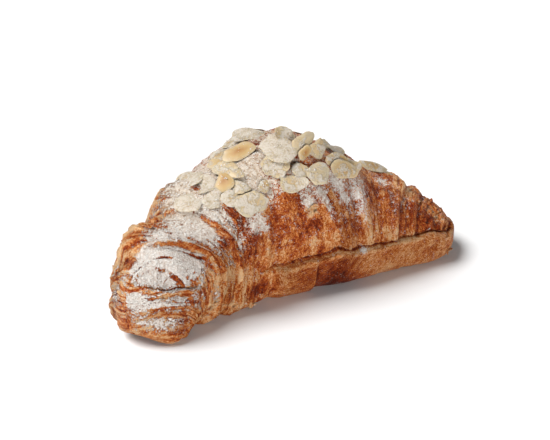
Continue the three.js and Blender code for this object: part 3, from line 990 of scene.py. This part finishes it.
# Where more sugar lies on the almonds: along, around, reach along, reach around, amount.
DUSTY_PATCHES = [
    (-36, 82, 10, 16, 0.6),
    (2, 75, 6, 6, 0.35),
    (-20, 51, 5, 5, 0.2),
    (-2, 105, 5, 6, 0.3),
    (-12, 89, 6, 4, -0.9),
    (-24.5, 76, 3, 3, -1.3),
    (-20.2, 91, 3, 3, -0.6),
    (12, 68, 4, 4, -0.4),
    (24, 62, 8, 6, 0.25),
    (38, 66, 5, 5, -0.1),
    (52, 101, 8, 6, -0.1),
]
FLAKE_RINGS = 9
FLAKE_SIDES = 56


def ragged_outline(angle, rng, chips, nearest, farthest, ragged):
    """Reach of a torn or broken outline around a circle, with straight chips broken off it."""
    reach = 1 + 0.05 * np.sin(3 * angle + rng.uniform(0, 6))
    reach = reach + 0.03 * np.sin(5 * angle + rng.uniform(0, 6))
    for _ in range(chips):
        chip_turn, chip = rng.uniform(0, 2 * math.pi), rng.uniform(nearest, farthest)
        facing = np.cos(angle - chip_turn)
        reach = np.where(facing > 0, np.minimum(reach, chip / np.maximum(facing, 1e-3)), reach)
    coarse = noise(2.5 * np.cos(angle), 2.5 * np.sin(angle), rng.uniform(0, 50)) - 0.5
    fine = noise(7 * np.cos(angle), 7 * np.sin(angle), rng.uniform(0, 50)) - 0.5
    return reach + ragged * (coarse + 0.6 * fine)


def flake_shape(length, width, rng):
    """Points of one flake about its own middle, with how far each lies from the middle (1 at the rim)."""
    angle = 2 * math.pi * np.arange(FLAKE_SIDES) / FLAKE_SIDES
    reach = ragged_outline(angle, rng, 3, 0.78, 1.4, 0.13)
    bend = rng.uniform(-0.8, 1.5)
    twist = rng.uniform(-0.9, 0.9)
    rings, spread = [], []
    shares = np.sin(np.linspace(0.12, 1, FLAKE_RINGS) * math.pi / 2)
    for side in (1, -1):
        for share in shares[::side]:
            x = length / 2 * np.cos(angle) * reach * share
            y = width / 2 * np.sin(angle) * (1 - FLAKE_TAPER * np.cos(angle)) * reach * share
            y = y * (1 + 0.1 * np.cos(angle) ** 2)
            edge = np.sqrt(max(1 - share**6, 0.0)) if share < 1 else 0.25
            u, v = x / (length / 2), y / (width / 2)
            z = FLAKE_CUP * (1 - share**2) + bend * (u**2 - 0.3) + twist * u * v
            z = z + side * FLAKE_THICKNESS / 2 * edge
            if side == 1:
                z = z + 0.18 * (noise(x / 1.6, y / 1.6, 0, int(rng.integers(1, 99))) - 0.5) * edge
            rings.append(np.stack([x, y, z], -1))
            spread.append(np.full(FLAKE_SIDES, share * side))
    top = np.array([[0, 0, rings[0][:, 2].mean()]])
    bottom = np.array([[0, 0, rings[-1][:, 2].mean()]])
    points = np.concatenate([top, *rings, bottom])
    return points, np.concatenate([[0], *spread, [0]])


def joined_piece(name, things, faces_of_one, looks, material):
    """One piece made of things with the same faces; each look lists the values of thing after thing."""
    corners = len(things[0])
    faces = [[i + corners * k for i in face] for k in range(len(things)) for face in faces_of_one]
    piece = new_piece(name, np.concatenate(things), faces, material)
    for look, values in looks.items():
        add_values(piece, look, np.concatenate(values))
    return piece


def almond_piece(material):
    rng = np.random.default_rng(8)
    points = []
    looks = dict(toast=[], rim=[], up=[], dusty=[])
    for at, around, length, width, turn, tip, lift, toasted in FLAKES:
        local, spread = flake_shape(length, width, rng)
        seated, facing = set_on_crust(local, at, around, lift + FLAKE_RAISE, turn, tip)
        points.append(seated)
        looks["toast"].append(np.full(len(local), toasted))
        looks["rim"].append(np.abs(spread))
        looks["up"].append(np.where(spread >= 0, facing, -facing))
        looks["dusty"].append(np.full(len(local), patches(at, around * DEGREE, DUSTY_PATCHES)))
    faces_of_one = skin_faces(2 * FLAKE_RINGS, FLAKE_SIDES)
    piece = joined_piece("almond_flakes", points, faces_of_one, looks, material)
    rim, up = np.concatenate(looks["rim"]), np.concatenate(looks["up"])
    return piece, dict(points=np.concatenate(points), up=up, rim=rim)


# ---------------- torn bits of crust

# Torn bits that stand off the crust: along, around, length, width, turn, tip, brown.
SHARDS = [
    (8, 30, 6.5, 3.4, 15, 28, 0),
    (10.5, 26, 3.6, 2.2, -50, 40, 0.1),
    (5.5, 27, 3.2, 2, 60, 30, 0.3),
    (-26, 27, 6, 4.2, 30, 20, 0.75),
    (-29.5, 24, 4, 2.6, -30, 15, 0.6),
    (-38.5, 38, 4.2, 3.4, 0, 18, 0.65),
    (-46, 30, 4.6, 2.6, -20, 12, 0.1),
    (-48, -27, 5, 2.4, 10, -28, 0.05),
    (-42.5, -31, 3.6, 2, -20, -30, 0.2),
    (-36, -33, 4.6, 2.2, 15, -34, 0.1),
    (-29.5, -36, 3.6, 2, 50, -30, 0.3),
    (-25, -41, 5, 2.4, 0, -30, 0.05),
    (-19, -38, 3.4, 2, -35, -25, 0.15),
    (58, 60, 3.4, 2.2, 40, 24, 0.3),
    (71, 66, 4, 2.4, -60, 26, 0.2),
    (80, 40, 4.2, 2.2, 20, 24, 0.35),
    (83, 8, 4, 2.2, 60, 30, 0.1),
    (84.5, -20, 4.4, 2.4, 70, 26, 0.2),
    (76, 52, 3.8, 2.2, -20, 26, 0.3),
    (85.5, 28, 3.6, 2.2, 70, 14, 0.3),
    (41, 40, 3, 2, 80, 20, 0.4),
    (-58, 100, 3.6, 2, 70, 24, 0.2),
    (-52, 118, 4, 2.4, 60, 20, 0.2),
    (-70, 140, 4, 2.2, 80, 20, 0.3),
    (30, 150, 4, 2.6, 10, 24, 0.4),
    (-10, 156, 4, 2.4, 70, 22, 0.3),
    (62, 140, 4, 2.4, -20, 22, 0.3),
]
SHARD_RINGS = 5
SHARD_SIDES = 30
SHARD_THICKNESS = 0.4
SHARD_LIFT = 0.35
SHARD_SUGAR = 0.2


def shard_shape(length, width, rng):
    """Points of one torn bit about its own middle: a thin curled sheet with straight broken sides."""
    angle = 2 * math.pi * np.arange(SHARD_SIDES) / SHARD_SIDES
    reach = ragged_outline(angle, rng, 5, 0.5, 0.95, 0.25)
    curl = rng.uniform(0.3, 1.0)
    rings = []
    shares = np.linspace(0.25, 1, SHARD_RINGS)
    for side in (1, -1):
        for share in shares[::side]:
            u, v = np.cos(angle) * reach * share, np.sin(angle) * reach * share
            edge = 0.3 if share == 1 else 1.0
            z = curl * (u + 0.4 * v) ** 2 + side * SHARD_THICKNESS / 2 * edge
            z = z + 0.25 * (noise(u * 2.5, v * 2.5, 0, 77) - 0.5)
            rings.append(np.stack([u * length / 2, v * width / 2, z], -1))
    top, bottom = rings[0].mean(0)[None], rings[-1].mean(0)[None]
    return np.concatenate([top, *rings, bottom])


def shard_piece(material):
    rng = np.random.default_rng(15)
    points = []
    looks = dict(brown=[], place=[], sugar=[])
    for at, around, length, width, turn, tip, browner in SHARDS:
        local = shard_shape(length, width, rng)
        points.append(set_on_crust(local, at, around, SHARD_LIFT, turn, tip, baked=True)[0])
        looks["brown"].append(np.full(len(local), browner))
        looks["place"].append(local + (at, around, 0))
        looks["sugar"].append(np.full(len(local), SHARD_SUGAR))
    return joined_piece("torn_crust", points, skin_faces(2 * SHARD_RINGS, SHARD_SIDES), looks, material)


# ---------------- loose sugar

GOLDEN = (1 + math.sqrt(5)) / 2
BALL_POINTS = np.array(
    [(-1, GOLDEN, 0), (1, GOLDEN, 0), (-1, -GOLDEN, 0), (1, -GOLDEN, 0),
     (0, -1, GOLDEN), (0, 1, GOLDEN), (0, -1, -GOLDEN), (0, 1, -GOLDEN),
     (GOLDEN, 0, -1), (GOLDEN, 0, 1), (-GOLDEN, 0, -1), (-GOLDEN, 0, 1)]
) / math.hypot(1, GOLDEN)
BALL_FACES = np.array(
    [(0, 11, 5), (0, 5, 1), (0, 1, 7), (0, 7, 10), (0, 10, 11), (1, 5, 9), (5, 11, 4), (11, 10, 2),
     (10, 7, 6), (7, 1, 8), (3, 9, 4), (3, 4, 2), (3, 2, 6), (3, 6, 8), (3, 8, 9), (4, 9, 5),
     (2, 4, 11), (6, 2, 10), (8, 6, 7), (9, 8, 1)]
)
SUGAR_LUMPS = 9000
LUMP_LEAST, LUMP_SPREAD = 0.12, 0.3  # half sizes in mm: the smallest, and what the largest has more
LUMP_SCATTER = 0.25
LUMP_FLATNESS = 0.75
ALMOND_SHARE = 0.05


def sugar_piece(crust, almonds, material):
    """Small lumps of icing sugar, thickest where the sugar lies thick, and some on the almonds."""
    rng = np.random.default_rng(21)
    flat = np.concatenate([crust["points"].reshape(-1, 3), almonds["points"]])
    on_crust = (np.clip(crust["sugar"] - 0.5, 0, 1) * np.clip(crust["up"], 0, 1)).ravel()
    tops = almonds["points"]
    clusters = ease(cloud(tops[:, 0] / 3, tops[:, 1] / 3, tops[:, 2] / 3, 25) * 4 - 1.6)
    on_almonds = np.where(almonds["rim"] < 0.95, np.clip(almonds["up"] - 0.3, 0, 1), 0) * clusters
    chance = np.concatenate([on_crust / on_crust.sum(), ALMOND_SHARE * on_almonds / on_almonds.sum()])
    chosen = rng.choice(len(flat), SUGAR_LUMPS, p=chance / chance.sum())
    size = LUMP_LEAST + LUMP_SPREAD * rng.random(SUGAR_LUMPS) ** 4
    centre = flat[chosen] + rng.normal(0, LUMP_SCATTER, (SUGAR_LUMPS, 3)) * (1, 1, 0.2)
    shape = BALL_POINTS[None] * rng.uniform(0.7, 1.2, (SUGAR_LUMPS, 12, 1)) * (1, 1, LUMP_FLATNESS)
    points = (centre[:, None] + shape * size[:, None, None]).reshape(-1, 3)
    faces = (BALL_FACES[None] + 12 * np.arange(SUGAR_LUMPS)[:, None, None]).reshape(-1, 3)
    return new_piece("icing_sugar", points, faces.tolist(), material)


# ---------------- materials


class Nodes:
    """Short calls for making a material's nodes."""

    def __init__(self, name):
        self.material = bpy.data.materials.new(name)
        self.material.use_nodes = True
        self.tree = self.material.node_tree
        self.shader = self.tree.nodes["Principled BSDF"]

    def add(self, kind, **inputs):
        node = self.tree.nodes.new("ShaderNode" + kind)
        for key, value in inputs.items():
            self.put(node.inputs[key], value)
        return node

    def put(self, socket, value):
        if isinstance(value, bpy.types.NodeSocket):
            self.tree.links.new(value, socket)
        else:
            socket.default_value = value

    def where(self):
        """The place on the thing, in metres."""
        return self.add("TexCoord").outputs["Object"]

    def value(self, name, output="Fac"):
        """A value that was given to the points of the mesh."""
        node = self.add("Attribute")
        node.attribute_name = name
        return node.outputs[output]

    def math(self, operation, *values):
        node = self.add("Math")
        node.operation = operation
        for socket, value in zip(node.inputs, values):
            self.put(socket, value)
        return node.outputs[0]

    def plus(self, first, second):
        return self.math("ADD", first, second)

    def minus(self, first, second):
        return self.math("SUBTRACT", first, second)

    def times(self, first, second):
        return self.math("MULTIPLY", first, second)

    def ramp(self, factor, gain, stops):
        """Colours from one stop to the next; each stop is a place and a screen colour."""
        node = self.add("ValToRGB")
        elements = node.color_ramp.elements
        while len(elements) < len(stops):
            elements.new(0.5)
        for element, (place, *colour) in zip(elements, stops):
            element.position = place
            element.color = seen(gain, *colour)
        self.put(node.inputs[0], factor)
        return node.outputs[0]

    def noise(self, vector, scale, detail=3.0, roughness=0.55, warp=0.0):
        shape = dict(Scale=scale, Detail=detail, Roughness=roughness, Distortion=warp)
        return self.add("TexNoise", Vector=vector, **shape).outputs["Fac"]

    def stretch(self, vector, scale):
        node = self.add("VectorMath")
        node.operation = "MULTIPLY"
        self.put(node.inputs[0], vector)
        node.inputs[1].default_value = scale
        return node.outputs[0]

    def sway(self, value, noise, amount):
        """The value, moved up and down by a noise around its middle."""
        return self.plus(value, self.times(self.minus(noise, 0.5), amount))

    def mix(self, factor, first, second):
        node = self.add("Mix")
        node.data_type = "RGBA"
        self.put(node.inputs["Factor"], factor)
        self.put(node.inputs[6], first)
        self.put(node.inputs[7], second)
        return node.outputs[2]

    def step(self, value, low, high):
        node = self.add("MapRange")
        node.interpolation_type = "SMOOTHSTEP"
        for name, given in (("Value", value), ("From Min", low), ("From Max", high)):
            self.put(node.inputs[name], given)
        return node.outputs[0]

    def bump(self, height, strength, distance):
        node = self.add("Bump", Strength=strength, Distance=distance, Height=height)
        self.put(self.shader.inputs["Normal"], node.outputs[0])

    def set(self, **inputs):
        for key, value in inputs.items():
            self.put(self.shader.inputs[key.replace("_", " ")], value)


def crust_material():
    n = Nodes("crust")
    where = n.where()
    place = n.value("place", "Vector")
    fan = n.value("fan")
    wall = n.value("wall")
    fibres = n.noise(n.stretch(place, (1.3, 0.42, 1.0)), 1.1, 4.0, 0.68, warp=0.8)
    hoops = n.noise(n.stretch(place, (1.0, 0.08, 1.0)), 0.8, 3.0, 0.6, warp=0.4)
    flecks = n.noise(where, 1700.0, 3.0, 0.7)
    blotches = n.noise(where, 330.0, 4.0, 0.7, warp=0.8)
    brown = n.sway(n.value("brown"), fibres, n.plus(1.5, n.times(wall, 0.3)))
    brown = n.sway(brown, blotches, n.minus(1.3, n.times(wall, 0.4)))
    brown = n.sway(brown, hoops, n.times(fan, 2.0))
    brown = n.sway(brown, flecks, 1.6)
    crust = n.ramp(brown, CRUST_GAIN, [
        (0.0, 240, 194, 144),
        (0.2, 224, 146, 80),
        (0.46, 192, 95, 34),
        (0.7, 152, 56, 15),
        (1.0, 88, 26, 6),
    ])
    grain = n.noise(where, 2000.0, 2.0, 0.7)
    patchy = n.noise(where, 480.0, 3.0, 0.6)
    thick = n.sway(n.value("sugar"), grain, 2.6)
    thick = n.sway(thick, n.noise(where, 900.0, 2.0, 0.6), 1.4)
    thick = n.sway(thick, patchy, 1.6)
    thick = n.sway(thick, hoops, n.times(fan, -0.7))
    powdered = n.step(thick, 0.4, 0.92)
    clumps = n.noise(where, 800.0, 3.0, 0.65)
    white = n.ramp(clumps, SUGAR_GAIN, [(0.3, 214, 192, 176), (0.65, 251, 246, 240)])
    glazed = n.ramp(clumps, SUGAR_GAIN, [(0.3, 160, 126, 92), (0.6, 236, 222, 204)])
    n.set(Base_Color=n.mix(powdered, crust, n.mix(n.value("cream"), white, glazed)))
    n.set(Roughness=n.plus(n.times(powdered, 0.4), 0.5))
    relief = n.plus(n.times(fibres, 0.8), n.times(flecks, 0.4))
    relief = n.plus(relief, n.times(hoops, n.times(fan, 0.8)))
    relief = n.times(relief, n.minus(1.0, n.times(powdered, 0.75)))
    relief = n.plus(relief, n.times(powdered, 0.5))
    n.bump(relief, 1.0, 0.0028)
    n.set(Specular_IOR_Level=0.15)
    return n.material


def almond_material():
    n = Nodes("almond")
    where = n.where()
    rim = n.value("rim")
    cloudy = n.noise(where, 260.0, 3.0, 0.55)
    middle = n.times(n.value("toast"), n.minus(1.15, rim))
    golden = n.plus(middle, n.times(n.minus(cloudy, 0.5), 0.5))
    nut = n.ramp(golden, ALMOND_GAIN, [
        (0.0, 248, 228, 190),
        (0.4, 236, 196, 130),
        (0.9, 200, 134, 58),
    ])
    grain = n.noise(where, 1300.0, 2.0, 0.7)
    patchy = n.noise(where, 300.0, 4.0, 0.65)
    thick = n.times(n.value("up"), 0.6)
    thick = n.plus(thick, n.value("dusty"))
    thick = n.sway(thick, grain, 1.4)
    thick = n.sway(thick, patchy, 4.0)
    thick = n.minus(thick, n.times(n.math("POWER", rim, 8.0), 0.5))
    powdered = n.times(n.step(thick, 0.05, 0.65), 0.95)
    dust = n.ramp(n.sway(grain, patchy, 0.8), ALMOND_GAIN, [(0.25, 208, 184, 150), (0.6, 252, 240, 222)])
    n.set(Base_Color=n.mix(powdered, nut, dust))
    n.set(Roughness=n.plus(n.times(powdered, 0.3), 0.5))
    powder = n.times(powdered, n.plus(n.times(grain, 0.6), 0.5))
    n.bump(n.plus(n.times(cloudy, 0.5), powder), 0.8, 0.0005)
    n.set(Subsurface_Weight=0.15, Subsurface_Radius=(1.0, 0.6, 0.3), Subsurface_Scale=0.0012)
    return n.material


def sugar_material():
    n = Nodes("icing_sugar")
    where = n.where()
    grain = n.noise(where, 1500.0, 2.0, 0.6)
    n.set(Base_Color=n.ramp(grain, SUGAR_GAIN, [(0.3, 232, 224, 214), (0.7, 250, 247, 242)]))
    n.set(Roughness=0.9)
    n.bump(grain, 0.5, 0.0002)
    return n.material


def floor_material():
    n = Nodes("floor")
    where = n.where()
    faint = n.noise(where, 3.0, 2.0, 0.5)
    n.set(Base_Color=n.mix(faint, (0.79, 0.79, 0.79, 1), (0.81, 0.81, 0.81, 1)))
    n.set(Roughness=0.8)
    n.set(Specular_IOR_Level=0.1)
    return n.material


# ---------------- studio

VIEW_AZIMUTH = -29.5
VIEW_HEIGHT = 28.0
VIEW_DISTANCE = 560.0
VIEW_TARGET = (0.0, -7.6, 22.8)
IMAGE_WIDTH = 550
LENS = 85.0
SENSOR = 36.0
AIM_OFF = (2.0, 14.0)  # pixels from the target to the middle of the picture, right and up
NEAREST_SEEN, FARTHEST_SEEN = 0.01, 20
FLOOR_HALF = 4.0
FLOOR_DROP = 0.0001
WORLD_STRENGTH = 0.12
KEY_DIRECTION = (-0.52, 0.30, 0.85)
KEY_SPREAD = 42  # degrees; it softens the shadows
KEY_STRENGTH = 4.9
FILL_PLACE = (-0.25, -1.0, 0.14)
FILL_TARGET = (0, 0, 0.03)
FILL_SIZE = 0.3
FILL_POWER = 8.5


def make_camera():
    data = bpy.data.cameras.new("camera")
    data.lens = LENS
    data.sensor_width = SENSOR
    data.clip_start = NEAREST_SEEN
    data.clip_end = FARTHEST_SEEN
    camera = put_in_scene("camera", data)
    turn, rise = VIEW_AZIMUTH * DEGREE, VIEW_HEIGHT * DEGREE
    back = Vector((math.sin(turn) * math.cos(rise), -math.cos(turn) * math.cos(rise), math.sin(rise)))
    right = Vector((math.cos(turn), math.sin(turn), 0))
    up = back.cross(right)
    camera.location = Vector(metres([VIEW_TARGET])[0].tolist()) + back * VIEW_DISTANCE * MM
    pixels = LENS / SENSOR * IMAGE_WIDTH
    aim = -back * pixels + right * AIM_OFF[0] + up * AIM_OFF[1]
    camera.rotation_euler = aim.to_track_quat("-Z", "Y").to_euler()
    bpy.context.scene.camera = camera


def make_floor(material):
    signs = ((-1, -1), (1, -1), (1, 1), (-1, 1))
    corners = [(x * FLOOR_HALF, y * FLOOR_HALF, -FLOOR_DROP) for x, y in signs]
    mesh = bpy.data.meshes.new("floor")
    mesh.from_pydata(corners, [], [(0, 1, 2, 3)])
    mesh.materials.append(material)
    put_in_scene("floor", mesh)


def make_key_light():
    """A far, large lamp, high up on the left and a little behind the pastry."""
    data = bpy.data.lights.new("key", "SUN")
    data.angle = KEY_SPREAD * DEGREE
    data.energy = KEY_STRENGTH
    light = put_in_scene("key", data)
    light.rotation_euler = Vector(KEY_DIRECTION).to_track_quat("Z", "Y").to_euler()


def make_fill_light():
    """A weaker lamp in front of the pastry."""
    data = bpy.data.lights.new("fill", "AREA")
    data.size = FILL_SIZE
    data.energy = FILL_POWER
    light = put_in_scene("fill", data)
    light.location = FILL_PLACE
    light.rotation_euler = (Vector(FILL_TARGET) - light.location).to_track_quat("-Z", "Y").to_euler()


def make_world():
    world = bpy.data.worlds.new("studio")
    world.use_nodes = True
    world.node_tree.nodes["Background"].inputs["Color"].default_value = (1, 1, 1, 1)
    world.node_tree.nodes["Background"].inputs["Strength"].default_value = WORLD_STRENGTH
    bpy.context.scene.world = world
    bpy.context.scene.view_settings.view_transform = "Standard"


# ---------------- the scene

crust, crust_data = crust_piece(crust_material())
shards = shard_piece(crust.data.materials[0])
almonds, almond_data = almond_piece(almond_material())
sugar = sugar_piece(crust_data, almond_data, sugar_material())
for piece, slot in ((crust, "crust"), (shards, "crust"), (almonds, "almond"), (sugar, "icing_sugar")):
    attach(piece, "root")
    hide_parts("croissant")

make_camera()
make_floor(floor_material())
make_key_light()
make_fill_light()
make_world()
